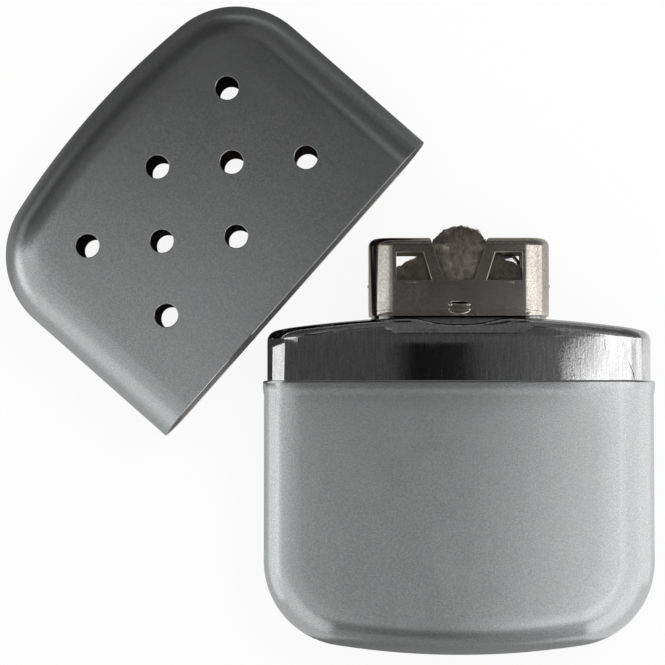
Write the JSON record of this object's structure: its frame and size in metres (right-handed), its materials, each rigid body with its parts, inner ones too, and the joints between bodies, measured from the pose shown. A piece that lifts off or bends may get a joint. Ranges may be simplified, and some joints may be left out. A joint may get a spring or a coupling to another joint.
{
  "type": "catalytic hand warmer",
  "caption": "Flat pocket warmer: rounded metal fuel case with polished shoulder, clip-on burner head with glass-wool catalyst, and a vented slip-on lid lying beside it.",
  "frame": {"origin": "centre of the case's flat back face, on the surface that it lies on", "axes": "+Y up the case towards the burner, +X to the right seen from the front, +Z out of the front face"},
  "size_m": [0.1128, 0.1128, 0.014],
  "materials": {
    "satin_chrome": "satin plated steel",
    "polished_chrome": "mirror polished",
    "nickel": "dull nickel plate",
    "solder": "soft solder, matt",
    "glass_wool": "fibrous, platinum-darkened",
    "cotton": "carded cotton",
    "felt": "pressed felt"
  },
  "bodies": {
    "tank": {"case_shell": "satin_chrome", "tank_shoulder": "polished_chrome", "seam_solder": "solder", "neck_collar": "polished_chrome", "neck_felt": "felt", "wadding_back": "cotton", "wadding_core": "cotton", "wadding_front": "cotton"},
    "burner": {"burner_cage": "nickel", "burner_floor": "nickel", "catalyst_wool": "glass_wool"},
    "lid": {"lid_shell": "satin_chrome"}
  },
  "joints": [
    {"name": "burner_pull", "type": "slide", "parent": "tank", "child": "burner", "axis": [0, 1, 0], "range_m": [0, 0.006]},
    {"name": "lid_swing", "type": "hinge", "parent": "tank", "child": "lid", "pos_m": [-0.0317, 0.0003, 0], "axis": [0, 0, 1], "range_deg": [-48.6, 11.4]}
  ]
}
